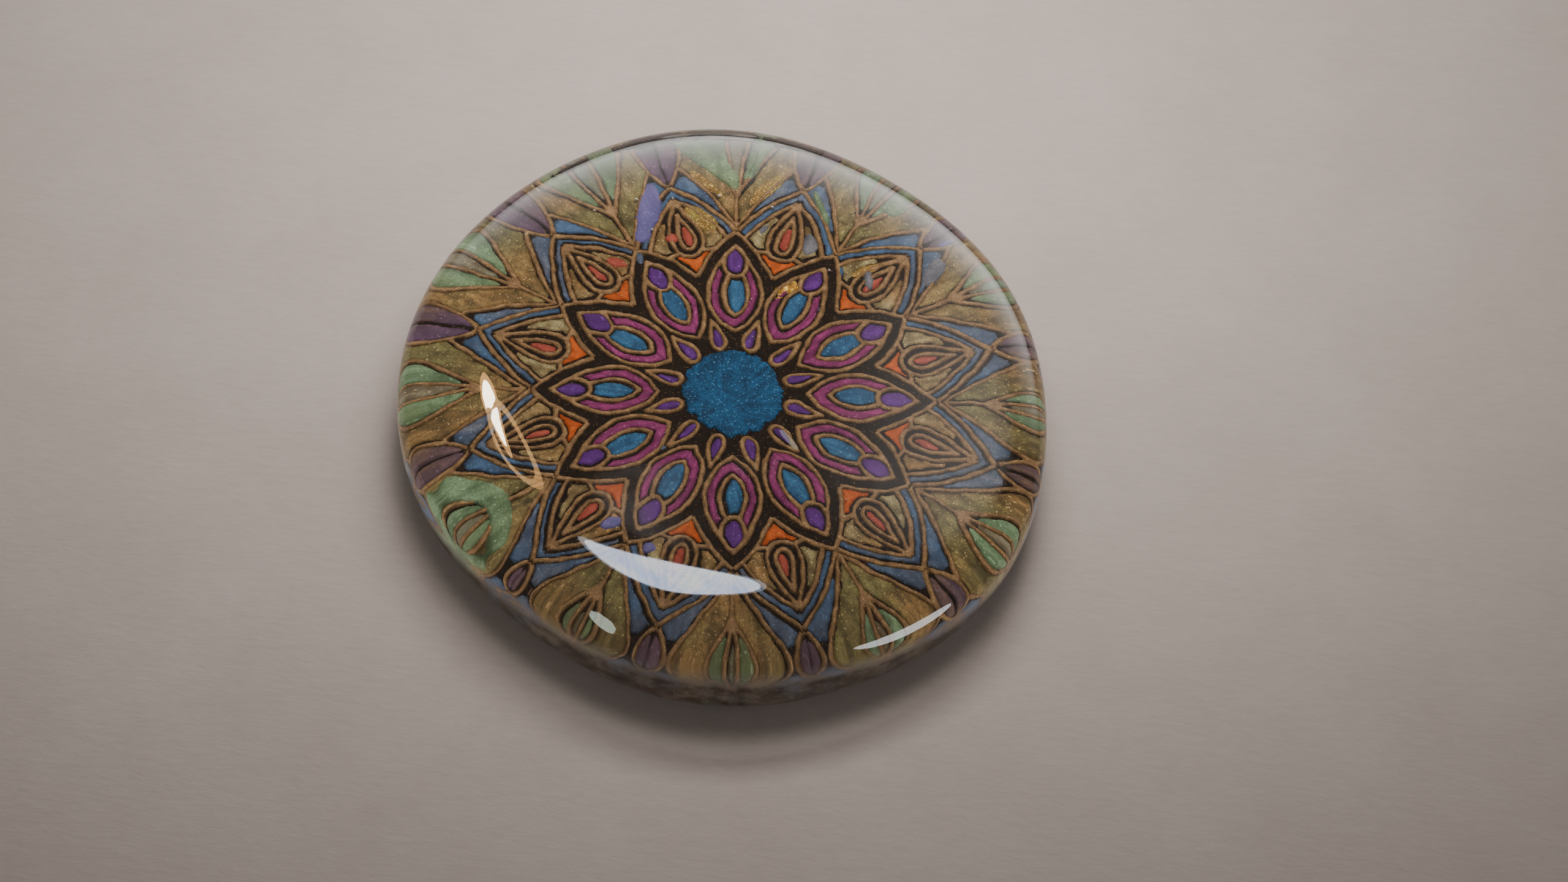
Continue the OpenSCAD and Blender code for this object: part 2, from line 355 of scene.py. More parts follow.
def outliner_gold():
    """Antique gold outliner: sandy, with painted shade in fine dark specks for its pits and painted
    glints in a few pale gold grains.
    """
    n = Nodes("outliner_gold")
    body = n.ramp(n.noise(0.5, 5, 0.7), (0.3, (0.1, 0.054, 0.022)), (0.5, (0.225, 0.128, 0.055)),
                  (0.72, (0.41, 0.245, 0.11)))
    # Painted shade: fine random specks darkened as if in pits
    pit_shade = n.ramp(n.noise(0.07, 2, 0.8, 5.0), (0.34, grey(0.8)), (0.52, grey(0.0)))
    # Painted glints: a few grains take a pale gold
    glints = n.ramp(n.grains(0.06), (0.93, grey(0.0)), (0.97, grey(0.7)))
    n.bump(n.noise(0.09, 3, 0.75, 2.0), 0.7, 0.03)
    pit_shaded = n.mix(pit_shade, body, (0.09, 0.048, 0.022))
    # The outliner's colour takes painted shade towards the near edge
    shown = n.painted_near_shade(n.mix(glints, pit_shaded, (0.5, 0.32, 0.14)))
    return n.finish(shown, metallic=0.3, roughness=0.5, gloss=0.2)


def black_card():
    """Matt black card with a little gold dust."""
    n = Nodes("black_card")
    base = n.ramp(n.noise(0.25, 4, 0.7), (0.3, (0.005, 0.003, 0.002)), (0.75, (0.022, 0.014, 0.009)))
    dust = n.ramp(n.grains(0.05), (0.965, grey(0.0)), (0.99, grey(0.6)))
    n.bump(n.noise(0.06, 2, 0.7), 0.5, 0.01)
    return n.finish(n.mix(dust, base, (0.3, 0.17, 0.08)), metallic=0.0, roughness=0.7, gloss=0.1)


def bright_leaf():
    """Crumpled gold leaf, with painted highlights and painted shade: its colour goes from near black to
    pale yellow in patches.
    """
    n = Nodes("gold_leaf")
    # Painted highlights and shade of the crumples: near black in the low stop, pale yellow in the high
    # one
    base = n.ramp(n.noise(0.25, 4, 0.7), (0.38, (0.08, 0.028, 0.003)), (0.5, (0.42, 0.2, 0.016)),
                  (0.62, (1.0, 0.66, 0.15)))
    n.bump(n.noise(0.15, 3, 0.6), 0.9, 0.05)
    return n.finish(base, metallic=0.35, roughness=0.45, gloss=0.3)


def glass_shade_top(y):
    """Height of the painted shade's upper edge at a place along Y, in millimetres."""
    near, far = GLASS_SHADE_TOP
    return near + (far - near) * (y + GLASS_R) / (2 * GLASS_R)


def glass_shade(n):
    """How thick the painted shade on the glass is, from 0 to 1: thick low down in front, none at the
    back.
    """
    _, y, z = n.parts(n.place)
    rise = (glass_shade_top(GLASS_R) - glass_shade_top(-GLASS_R)) / (2 * GLASS_R)
    top = n.sums("ADD", n.sums("MULTIPLY", y, rise), glass_shade_top(0.0) * MM)
    fade = n.soft(n.sums("SUBTRACT", top, z), 0.0, GLASS_SHADE_FADE * MM)
    broken = n.ramp(n.noise(1.2, 4, 0.65, 2.0), (0.3, grey(0.7)), (0.6, grey(1.0)))
    return n.mix(1.0, fade, broken, "MULTIPLY")


def clear_glass(name, lets_through, dull, dull_from=0.4, dull_to=0.75, shade_painted=False, wall=False):
    """Clear glass. Light for the picture and the floor goes straight through it, less at a slant.

    It is up to dull in roughness, in patches where a noise goes from dull_from to dull_to. Where it
    has painted shade, an uneven brown base colour with little transmission hides most of what lies
    behind. A wall lets little light out to the floor close above the card.
    """
    n = Nodes(name)
    n.shader.inputs["Base Color"].default_value = (*GLASS_TINT, 1.0)
    n.shader.inputs["Transmission Weight"].default_value = 1.0
    n.shader.inputs["IOR"].default_value = 1.5
    if shade_painted:
        # Painted shade: the glass turns brown and lets less through, thickest low on the near side
        coat = glass_shade(n)
        brown = n.ramp(n.noise(1.6, 4, 0.65, 2.0), (0.36, (0.02, 0.012, 0.006)),
                       (0.66, (0.11, 0.06, 0.026)))
        n.link(n.mix(coat, GLASS_TINT, brown), n.shader.inputs["Base Color"])
        n.link(n.ramp(coat, (0.0, grey(1.0)), (1.0, grey(0.2))), n.shader.inputs["Transmission Weight"])
    patches = n.ramp(n.noise(6.0, 4, 0.6), (dull_from, grey(0.0)), (dull_to, grey(dull)))
    n.link(patches, n.shader.inputs["Roughness"])
    slant = n.add("ShaderNodeLayerWeight")
    passed = n.ramp(slant.outputs["Facing"], (0.15, grey(lets_through)),
                    (0.5, grey(0.8 * lets_through)), (0.85, grey(0.35 * lets_through)))
    if wall:
        _, _, z = n.parts(n.place)
        low, high = SHADED
        passed = n.mix(1.0, n.soft(z, low * MM, high * MM, SHADED_LEAST), passed, "MULTIPLY")
    through = n.add("ShaderNodeBsdfTransparent")
    n.link(passed, through.inputs["Color"])
    path = n.add("ShaderNodeLightPath")
    shown = n.shader.outputs["BSDF"]
    for kind in ("Is Shadow Ray", "Is Diffuse Ray"):
        pick = n.add("ShaderNodeMixShader")
        n.link(path.outputs[kind], pick.inputs["Fac"])
        n.link(shown, pick.inputs[1])
        n.link(through.outputs["BSDF"], pick.inputs[2])
        shown = pick.outputs["Shader"]
    n.link(shown, n.output.inputs["Surface"])
    return n.material


def pale_paper():
    """Warm grey drawing paper with a fine grain along X."""
    n = Nodes("pale_paper")
    base = n.ramp(n.noise(8.0, 5, 0.6), (0.3, (0.53, 0.455, 0.41)), (0.7, (0.58, 0.5, 0.455)))
    fibres = n.ramp(n.noise(0.3, 4, 0.7, 1.0, n.drawn_out(4.0)), (0.3, grey(0.8)), (0.6, grey(1.0)))
    n.bump(n.noise(0.45, 4, 0.7, 3.0, n.drawn_out(3.0)), 0.5, 0.1)
    return n.finish(n.mix(0.35, base, fibres, "MULTIPLY"), metallic=0.0, roughness=0.85)


GOLD = outliner_gold()
# Paints: the deep, body and painted glint colours, and for some a second body colour
TEAL = pearl_paint("paint_teal", (0.004, 0.016, 0.04), (0.022, 0.102, 0.212), (0.12, 0.36, 0.56),
                   plain=0.93)
LAGOON = pearl_paint("paint_lagoon", (0.014, 0.04, 0.085), (0.046, 0.148, 0.268), (0.2, 0.44, 0.6))
VIOLET = pearl_paint("paint_violet", (0.055, 0.014, 0.085), (0.126, 0.033, 0.212), (0.36, 0.2, 0.45))
MAGENTA = pearl_paint("paint_magenta", (0.095, 0.016, 0.05), (0.315, 0.05, 0.16), (0.52, 0.24, 0.38))
ORANGE = pearl_paint("paint_orange", (0.26, 0.047, 0.009), (0.6, 0.12, 0.019), (0.85, 0.38, 0.14))
CORAL = pearl_paint("paint_coral", (0.22, 0.04, 0.027), (0.46, 0.104, 0.065), (0.75, 0.36, 0.25))
LIME = pearl_paint("paint_lime", (0.075, 0.05, 0.02), (0.41, 0.34, 0.16), (0.95, 0.8, 0.42),
                   (0.44, 0.235, 0.08))
BLUE = pearl_paint("paint_blue", (0.03, 0.047, 0.08), (0.078, 0.142, 0.245), (0.26, 0.36, 0.5),
                   (0.17, 0.17, 0.19))
PLUM = pearl_paint("paint_plum", (0.05, 0.03, 0.047), (0.145, 0.076, 0.128), (0.32, 0.2, 0.3),
                   (0.18, 0.11, 0.06))
OLIVE = pearl_paint("paint_olive", (0.045, 0.033, 0.014), (0.245, 0.215, 0.08), (0.85, 0.6, 0.26),
                    (0.38, 0.22, 0.08))
MINT = pearl_paint("paint_mint", (0.065, 0.1, 0.048), (0.25, 0.37, 0.2), (0.5, 0.66, 0.42),
                   (0.18, 0.22, 0.09))
TAN = pearl_paint("paint_tan", (0.08, 0.057, 0.03), (0.24, 0.21, 0.13), (0.62, 0.46, 0.25),
                  (0.15, 0.22, 0.15))
LAVENDER = pearl_paint("paint_lavender", (0.08, 0.07, 0.17), (0.16, 0.13, 0.3), (0.4, 0.36, 0.6))
SMOKE = pearl_paint("paint_smoke", (0.06, 0.06, 0.07), (0.2, 0.19, 0.2), (0.4, 0.4, 0.45))
GILT = pearl_paint("paint_gilt", (0.16, 0.085, 0.02), (0.42, 0.24, 0.05), (0.9, 0.6, 0.2),
                   (0.22, 0.2, 0.05), plain=0.8)
LEAF = bright_leaf()
PITCH = pearl_paint("paint_pitch", (0.008, 0.007, 0.006), (0.035, 0.03, 0.02), (0.16, 0.12, 0.06))


# ---- the drawing, from the CAD outlines ----

def top_outlines(node):
    """The closed outlines of each separate solid in a node, seen from above, in millimetres."""
    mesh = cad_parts[node].data
    mesh.calc_loop_triangles()
    at = np.array([v.co for v in mesh.vertices]) / MM
    _, same = np.unique(np.round(at, 4), axis=0, return_inverse=True)
    same = same.reshape(-1)
    first = {}
    for index, key in enumerate(same):
        first.setdefault(int(key), index)
    # The faces that look up, within a hair of the top
    top = at[:, 2].max() - 0.005
    edges = set()
    for triangle in mesh.loop_triangles:
        if triangle.normal.z > 0.9 and at[triangle.vertices[0], 2] > top:
            a, b, c = (int(same[v]) for v in triangle.vertices)
            edges.update(((a, b), (b, c), (c, a)))
    follow = {a: b for a, b in edges if (b, a) not in edges}
    loops = []
    while follow:
        start, here = next(iter(follow.items()))
        loop = [start]
        del follow[start]
        while here != start:
            loop.append(here)
            here = follow.pop(here)
        loops.append(np.array([at[first[key], :2] for key in loop]))
    return loops


def inside(points, loops):
    """Which points lie inside the outlines, with holes left out."""
    result = np.zeros(len(points), bool)
    for loop in loops:
        a, b = loop, np.roll(loop, -1, axis=0)
        for (ax, ay), (bx, by) in zip(a, b):
            if ay == by:
                continue
            crosses = (points[:, 1] < max(ay, by)) & (points[:, 1] >= min(ay, by))
            reach = ax + (points[:, 1] - ay) * (bx - ax) / (by - ay)
            result ^= crosses & (points[:, 0] < reach)
    return result


def rim_radius(loop, turn):
    """How far an outline is from the glass's centre, at each of these angles."""
    away = loop - GLASS_AT
    angle = np.arctan2(away[:, 1], away[:, 0])
    order = np.argsort(angle)
    return np.interp(turn, angle[order], np.linalg.norm(away, axis=1)[order], period=2 * math.pi)


CARD_EDGE = top_outlines("picture_card")[0]
FILM_EDGE = top_outlines("adhesive_film")[0]


def on_card(points):
    """Keeps points just inside the edge of the card."""
    away = points - GLASS_AT
    far = np.linalg.norm(away, axis=1)
    most = rim_radius(CARD_EDGE, np.arctan2(away[:, 1], away[:, 0])) - CARD_MARGIN
    return GLASS_AT + away * np.minimum(1, most / np.maximum(far, 1e-9))[:, None]


def dense(loop, step):
    """The same closed outline with a point at least every step."""
    out = []
    for a, b in zip(loop, np.roll(loop, -1, axis=0)):
        n = max(1, math.ceil(np.linalg.norm(b - a) / step))
        out.extend(a + (b - a) * i / n for i in range(n))
    return np.array(out)


def hand(points):
    """The slow sway and the small tremor of a hand, the same for line and paint."""
    def stray(far, wide, seed):
        return far * np.stack([field(points, wide, seed), field(points, wide, seed + 1)], 1)
    return on_card(points + stray(*SWAY, 1.0) + stray(*TREMOR, 3.0))


def swell(loop, spread, ragged, seed):
    """Moves an outline outwards by spread, more or less as it goes."""
    ahead, behind = np.roll(loop, -1, axis=0), np.roll(loop, 1, axis=0)
    along = ahead - behind
    out = np.stack([along[:, 1], -along[:, 0]], 1)
    out /= np.maximum(np.linalg.norm(along, axis=1, keepdims=True), 1e-9)
    # Lobes, teeth and slow waves: how wide and how deep they are, and the seed's shift for each
    rough = sum(depth * field(loop, wide, seed + shift)
                for wide, depth, shift in ((0.5, 1.0, 0), (0.16, 0.6, 9), (1.9, 0.7, 5)))
    return loop + out * (spread + ragged * rough)[:, None]


def grid_points(loops, step):
    """A triangular grid of points inside outlines."""
    low, high = loops[0].min(0), loops[0].max(0)
    rows = np.arange(low[1], high[1], step * 0.87)
    columns = np.arange(low[0], high[0], step)
    grid = np.array([(x + (k % 2) * step / 2, y) for k, y in enumerate(rows) for x in columns])
    return grid[inside(grid, loops)] if len(grid) else np.zeros((0, 2))


def ridge_points(loops, *depths):
    """Points at some depths inside the outlines, for a narrow bead."""
    found = []
    for loop in loops:
        along = np.roll(loop, -1, axis=0) - np.roll(loop, 1, axis=0)
        inwards = np.stack([-along[:, 1], along[:, 0]], 1)
        inwards /= np.maximum(np.linalg.norm(inwards, axis=1, keepdims=True), 1e-9)
        found.extend(loop + inwards * depth for depth in depths)
    return np.concatenate(found)


def spaced(points, edge, least):
    """Drops points that are too close to the edge or to each other. Also gives the edge's tree."""
    tree = kdtree.KDTree(len(edge))
    for i, (x, y) in enumerate(edge):
        tree.insert((x, y, 0), i)
    tree.balance()
    kept, cells = [], set()
    for x, y in points:
        cell = (round(x / least), round(y / least))
        if cell not in cells and tree.find((x, y, 0))[2] > least * 0.8:
            cells.add(cell)
            kept.append((x, y))
    return kept, tree


def filled(flat, rim, loops):
    """Triangles inside outlines: their flat points and their corners."""
    points, _, faces, _, _, _ = delaunay_2d_cdt([Vector(p) for p in flat], rim, [], 1, 1e-5, False)
    points = np.array([tuple(p) for p in points])
    faces = np.array([tuple(face) for face in faces])
    return points, faces[inside(points[faces].mean(1), loops)]


def open_edges(faces):
    """The edges that only one face uses."""
    edges = {(int(a), int(b)) for face in faces for a, b in zip(face, np.roll(face, -1))}
    return [(a, b) for a, b in edges if (b, a) not in edges]


def relief(loops, extra, least, height):
    """A closed low solid on the card. height(distance to the edge, points) gives its thickness."""
    edge = np.concatenate(loops)
    kept, tree = spaced(extra, edge, least)
    rim, start = [], 0
    for loop in loops:
        n = len(loop)
        rim.extend((start + i, start + (i + 1) % n) for i in range(n))
        start += n
    top, faces = filled([*map(tuple, edge), *kept], rim, loops)
    away = np.array([tree.find((x, y, 0))[2] for x, y in top])
    z = CARD_TOP + height(away, top)
    points = [(x, y, h) for (x, y), h in zip(top, z)]
    solid = [tuple(int(i) for i in face) for face in faces]
    # The wall and the flat bottom, which lies a hair inside the card
    border = open_edges(faces)
    below, place = {}, {}
    for i in sorted({i for pair in border for i in pair}):
        below[i] = len(points)
        place[tuple(np.round(top[i], 4))] = len(points)
        points.append((*top[i], CARD_TOP - SUNK))
    solid += [(b, a, below[a], below[b]) for a, b in border]
    order = {i: k for k, i in enumerate(below)}
    base, base_faces = filled([tuple(top[i]) for i in below],
                              [(order[a], order[b]) for a, b in border], loops)
    found = [place.get(tuple(np.round(p, 4))) for p in base]
    solid += [tuple(found[i] for i in face[::-1]) for face in base_faces
              if all(found[i] is not None for i in face)]
    return points, solid


def joined(name, parts, material):
    """One piece from several closed solids."""
    points, faces = [], []
    for more, more_faces in parts:
        faces.extend([tuple(i + len(points) for i in face) for face in more_faces])
        points.extend(more)
    return new_mesh(name, points, faces, material)


def islands(loops):
    """Groups outlines into islands: each outer outline with the holes in it."""
    def area(loop):
        x, y = loop[:, 0], loop[:, 1]
        return 0.5 * np.sum(x * np.roll(y, -1) - y * np.roll(x, -1))
    outer = [loop for loop in loops if area(loop) > 0]
    holes = [loop for loop in loops if area(loop) <= 0]
    groups = [[loop] for loop in outer]
    for hole in holes:
        home = min((g for g in groups if inside(hole[:1], g[:1])[0]), key=lambda g: area(g[0]))
        home.append(hole)
    return groups


def bead(away, points):
    """A rounded line of outliner, a little lumpy, and a little lower than the CAD line on the whole."""
    share = np.clip(away / LINE_HALF, 0, 1)
    lumpy = 1 + 0.16 * field(points, 0.35, 6.0) + 0.1 * field(points, 0.12, 8.0)
    return LINE_T * 0.86 * np.sqrt(1 - (1 - share) ** 2) * lumpy


def film(away, points):
    """Paint that is thin at its edge and full and grainy inside."""
    share = np.clip(away / PAINT_EDGE, 0, 1)
    full = share * share * (3 - 2 * share)
    grainy = 1 + 0.18 * field(points, 0.5, 5.0) + 0.08 * field(points, 0.14, 7.0)
    return PAINT_T * (0.25 + 0.55 * full) * grainy


def outliner(node):
    """Raised beads in place of one node's lines."""
    parts = []
    for group in islands(top_outlines(node)):
        loops = [swell(hand(dense(loop, LINE_STEP)), 0.01, 0.05, 11.0) for loop in group]
        parts.append(relief(loops, ridge_points(loops, *RIDGES), LINE_GAP, bead))
    piece = joined("lines_" + node.replace("gold_", ""), parts, GOLD)
    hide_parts(node)


def brushed(loops, seed, spread, ragged):
    """One cell's outline as a brush filled it: a little off its place, with a ragged edge."""
    draw = random.Random(seed)
    shift = np.array([draw.gauss(0, OFF_PLACE), draw.gauss(0, OFF_PLACE)])
    more = spread + draw.gauss(0, OFF_SIZE)
    return [swell(hand(dense(loop, CELL_STEP)) + shift, more, ragged, seed % 97) for loop in loops]


def painting(node, material, spread, ragged=0.06):
    """Hand-filled cells in place of one node's, grown by spread and uneven by ragged."""
    parts = []
    for index, group in enumerate(islands(top_outlines(node))):
        loops = brushed(group, 31 * index + len(node), spread, ragged)
        parts.append(relief(loops, grid_points(loops, CELL_GRID), CELL_GAP, film))
    piece = joined("cells_" + node.replace("paint_", ""), parts, material)
    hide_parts(node)


for lines in ("drop_rings", "petal_lines", "kite_lines", "chevron_lines", "vein_lines"):
    outliner("gold_" + lines)

painting("paint_centre_blue", TEAL, 0.06, 0.24)
painting("paint_drop_violet", VIOLET, 0.1)
painting("paint_petal_magenta", MAGENTA, 0.03)
painting("paint_leaf_teal", LAGOON, 0.05)
painting("paint_dot_purple", VIOLET, 0.05)
painting("paint_kite_orange", ORANGE, 0.04)
painting("paint_seed_coral", CORAL, 0.04)
painting("paint_kite_lime", LIME, 0.03, 0.1)
painting("paint_chevron_blue", BLUE, 0.04)
painting("paint_band_blue", BLUE, 0.06)
painting("paint_arch_plum", PLUM, 0.11)
painting("paint_arch_olive", OLIVE, 0.12)
painting("paint_blade_mint", MINT, 0.12)
painting("paint_wedge_tan", TAN, 0.12)
painting("gold_leaf_fleck", LEAF, 0.0, 0.26)


# ---- slips and second coats of the painter's hand, in the picture's own frame ----

def blob(points):
    """A smooth closed outline through a few corners."""
    corners = np.array(points, float)
    for _ in range(2):
        ahead = np.roll(corners, -1, axis=0)
        pair = [0.75 * corners + 0.25 * ahead, 0.25 * corners + 0.75 * ahead]
        corners = np.stack(pair, 1).reshape(-1, 2)
    return corners


def spot(x, y, wide, high, lean=0.0):
    """The corners of an oval dab, which lie outside it, because the dab is rounded from them."""
    turn = np.linspace(0, 2 * math.pi, 7)[:-1]
    c, s = math.cos(math.radians(lean)), math.sin(math.radians(lean))
    a, b = wide / 1.7 * np.cos(turn), high / 1.7 * np.sin(turn)
    return np.stack([x + a * c - b * s, y + a * s + b * c], 1)


def dab(name, shapes, material, lift=0.06, ragged=0.07):
    """Paint laid over what is already there, lift above it."""
    def coat(away, points):
        return film(away, points) + lift * np.clip(away / COAT_EDGE, 0, 1)
    parts = []
    for k, corners in enumerate(shapes):
        loop = dense(from_picture(blob(corners)), CELL_STEP)
        loop = on_card(swell(loop, 0.0, ragged, 40.0 + k))
        parts.append(relief([loop], grid_points([loop], DAB_GRID), DAB_GAP, coat))
    joined(name, parts, material)


def slips():
    """Each dab's name, its shapes, its paint, and how far it stands above what it covers."""
    dab("overpaint_violet",
        [[(-5.2, 14.8), (-4.6, 14.5), (-4.3, 13.2), (-4.5, 12.1), (-4.9, 11.2), (-5.1, 10.4),
          (-6.1, 10.4), (-5.9, 11.6), (-5.9, 12.6), (-5.5, 13.9)]],
        LAVENDER)
    dab("overpaint_coral",
        [spot(-6.9, 8.95, 1.3, 0.75, -20),
         spot(-3.75, 10.85, 0.75, 0.7)],
        CORAL)
    dab("overpaint_smoke",
        [[(3.9, 9.8), (4.7, 10.0), (4.9, 10.8), (4.3, 11.7), (3.9, 10.9)],
         spot(1.65, 11.7, 0.45, 0.9, -35),
         spot(7.8, 8.3, 0.55, 1.4, 5),
         [(10.8, 7.8), (11.6, 8.2), (12.3, 9.6), (11.5, 10.2), (10.9, 9.3)]],
        SMOKE)
    dab("overpaint_lavender",
        [spot(-6.7, -8.7, 1.2, 0.8, 20),
         spot(-4.5, -10.2, 0.9, 0.7),
         spot(11.9, 11.0, 0.8, 0.5, 30)],
        LAVENDER)
    dab("overpaint_mint",
        [[(-4.0, 17.7), (-2.2, 17.8), (-0.4, 16.4), (0.3, 15.3), (0.15, 14.2), (-0.6, 14.7),
          (-1.7, 15.7), (-3.2, 16.8)],
         [(0.55, 15.5), (1.0, 16.6), (1.2, 17.6), (2.0, 17.6), (1.6, 16.4), (0.8, 15.0)],
         [(4.35, 14.7), (4.8, 14.4), (5.55, 12.4), (5.4, 11.9), (4.7, 13.0)],
         [(8.0, 13.5), (9.3, 13.9), (10.0, 13.2), (9.0, 12.6)],
         [(-15.7, -5.2), (-14.2, -5.7), (-12.6, -6.2), (-11.9, -7.6), (-12.0, -9.7),
          (-12.9, -9.9), (-13.1, -8.4), (-13.4, -7.4), (-14.2, -7.0), (-15.5, -6.5)]],
        MINT, 0.09)
    dab("overpaint_pitch",
        [spot(0.75, 14.9, 0.4, 1.3, -30),
         spot(0.2, 14.35, 0.5, 0.35),
         spot(7.2, 13.1, 1.5, 0.3, 15)],
        PITCH, 0.03)
    dab("overpaint_gilt",
        [[(0.6, 13.2), (1.3, 13.5), (2.9, 15.0), (2.6, 15.9), (1.6, 15.1), (0.9, 14.3)],
         [(-0.5, 13.5), (-1.2, 14.0), (-2.6, 15.2), (-2.9, 16.0), (-1.8, 15.4), (-0.7, 14.3)],
         [(-1.3, 12.6), (-2.4, 13.3), (-3.2, 13.1), (-2.6, 11.9), (-1.6, 11.2), (-0.9, 11.9)],
         [(6.5, 8.6), (7.4, 9.2), (8.8, 9.7), (8.6, 9.2), (7.2, 8.3)]],
        GILT, 0.02)
    dab("overpaint_blue",
        [spot(-5.6, 9.3, 0.45, 0.8, 10),
         spot(6.2, 8.8, 0.4, 0.7),
         spot(4.9, 6.1, 0.3, 0.3),
         spot(-4.0, -3.85, 0.45, 0.3, 30)],
        BLUE)


slips()


# ---- the glass ----

def edge_height(share):
    """Height of the underside's curve above the flat, out to the widest contour."""
    out = np.clip((share - FLAT_SHARE) / (1 - FLAT_SHARE), 0, 1)
    return GIRDLE * (1 - (1 - out ** UNDERSIDE_ROUND) ** (1 / UNDERSIDE_ROUND))


def dome_height(share):
    """Height of the dome's curve above the flat, from the top to the widest contour."""
    return GIRDLE + (GLASS_TOP - GLASS_BASE - GIRDLE) * (1 - share ** SHOULDER_IN) ** (1 / SHOULDER_UP)


def glass_gem():
    """The glass and the rounded seam of adhesive under it, as one clear body on the card."""
    around = 360
    turn = np.linspace(0, 2 * math.pi, around, endpoint=False)
    ray = np.stack([np.cos(turn), np.sin(turn)], 1)
    film_r = rim_radius(FILM_EDGE, turn)
    # A hair inside the CAD solid
    rim_r = wave_r(turn) * 0.9995
    rings = [(film_r * 0.985, np.full(around, CLEAR_FLOOR)),
             (film_r, np.full(around, CLEAR_FLOOR + 0.02))]
    # The underside from the adhesive's edge out to the widest contour, then the dome from there up
    first = film_r / rim_r
    for step in np.linspace(0, 90, 26):
        lean = math.sin(math.radians(step)) ** (2 / UNDERSIDE_ROUND)
        share = first + (1 - first) * lean
        rings.append((rim_r * share, GLASS_BASE + edge_height(share)))
    for step in np.linspace(0, 90, 130, endpoint=False)[1:]:
        # The rings crowd towards the contour, where the dome is steep
        share = math.cos(math.radians(step)) ** 0.8
        uneven = field(GLASS_AT + ray * (rim_r * share)[:, None], SINK_WIDE, 4.0)
        sunk = SINK * share * (0.5 + 0.5 * uneven)
        rings.append((rim_r * share, GLASS_BASE + dome_height(share) - sunk))
    points = [(GLASS_AT[0] + x * r, GLASS_AT[1] + y * r, h)
              for radii, heights in rings for (x, y), r, h in zip(ray, radii, heights)]
    points += [(*PICTURE_AT, CLEAR_FLOOR), (*GLASS_AT, GLASS_TOP)]
    low, crown = len(points) - 2, len(points) - 1
    last = (len(rings) - 1) * around
    faces = []
    for i in range(around):
        j = (i + 1) % around
        faces.append((low, j, i))
        faces.append((crown, last + i, last + j))
        for k in range(0, last, around):
            faces.append((k + i, k + j, k + around + j, k + around + i))
    piece = new_mesh("glass_dome", points, faces,
                     clear_glass("clear_glass", lets_through=1.0, dull=0.05))
    # The near side's low faces get glass with painted shade, a brown coat in its colour
    piece.data.materials.append(
        clear_glass("shade_painted_glass", lets_through=0.75, dull=0.3, shade_painted=True, wall=True))
    piece.data.materials.append(
        clear_glass("frosted_glass", lets_through=0.9, dull=0.8, dull_from=0.2, dull_to=0.5, wall=True))
    clear, shade_painted, frosted = range(3)
    for face in piece.data.polygons:
        _, y, z = face.center / MM
        # The underside's wall, outside the adhesive, is a little frosted by the mould
        wall = GLASS_BASE + 0.15 < z < GIRDLE
        # Faces below the painted shade's edge take the glass with painted shade
        face.material_index = shade_painted if z < glass_shade_top(y) else frosted if wall else clear
    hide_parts("glass_gem", "adhesive_film")


glass_gem()


def bubble(x, y, r, k):
    """The points and faces of one small flattened bubble, a little uneven in a way that k sets."""
    rows, around = 6, 14
    points, faces = [], []
    for i in range(rows + 1):
        up = math.pi * (i + 0.5) / (rows + 1)
        for j in range(around):
            t = 2 * math.pi * j / around
            wide = r * math.sin(up) * (1 + 0.12 * math.cos(2 * t + k) + 0.05 * math.cos(3 * t))
            points.append((x + wide * math.cos(t), y + wide * math.sin(t),
                           BUBBLES_AT + r * 0.7 * (1 - math.cos(up))))
    for row in range(0, rows * around, around):
        for j in range(around):
            n = (j + 1) % around
            faces.append((row + j, row + n, row + around + n, row + around + j))
    faces.append(tuple(range(around))[::-1])
    faces.append(tuple(rows * around + j for j in range(around)))
    return points, faces


def bubbles():
    """The bubbles that the adhesive holds under the glass: some plain to see, and finer ones."""
    draw = random.Random(5)
    seen = [(-5.8, 13.4), (-8.2, 12.5), (-0.4, 15.2), (-3.7, 13.6), (-4.9, 11.3), (7.65, 11.9),
            (-1.0, 13.9), (12.4, 11.6), (5.5, 8.8), (2.1, 13.2)]
    fine = [(draw.uniform(-12, 12), draw.uniform(-11, 15)) for _ in range(26)]
    parts = []
    for k, place in enumerate(seen + fine):
        r = draw.uniform(0.05, 0.13) if k < len(seen) else draw.uniform(0.02, 0.05)
        parts.append(bubble(*from_picture([place])[0], r, k))
    n = Nodes("bubble_air")
    n.shader.inputs["Base Color"].default_value = (0.9, 0.86, 0.8, 1.0)
    n.shader.inputs["Transmission Weight"].default_value = 1.0
    # Air inside glass bends light the other way
    n.shader.inputs["IOR"].default_value = 0.67
    n.link(n.ramp(n.noise(0.05), (0.3, grey(0.0)), (0.7, grey(0.12))), n.shader.inputs["Roughness"])
    joined("adhesive_bubbles", parts, n.material)


bubbles()


# ---- card ----

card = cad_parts["picture_card"]
card.data.materials.clear()
card.data.materials.append(black_card())


# ---- floor, lamps, camera ----

def floor():
    """A wide sheet of pale paper."""
    bpy.ops.mesh.primitive_plane_add(size=3.0, location=(0, 0, 0))
    plane = bpy.context.object
    plane.name = "paper_floor"
    plane.data.materials.append(pale_paper())


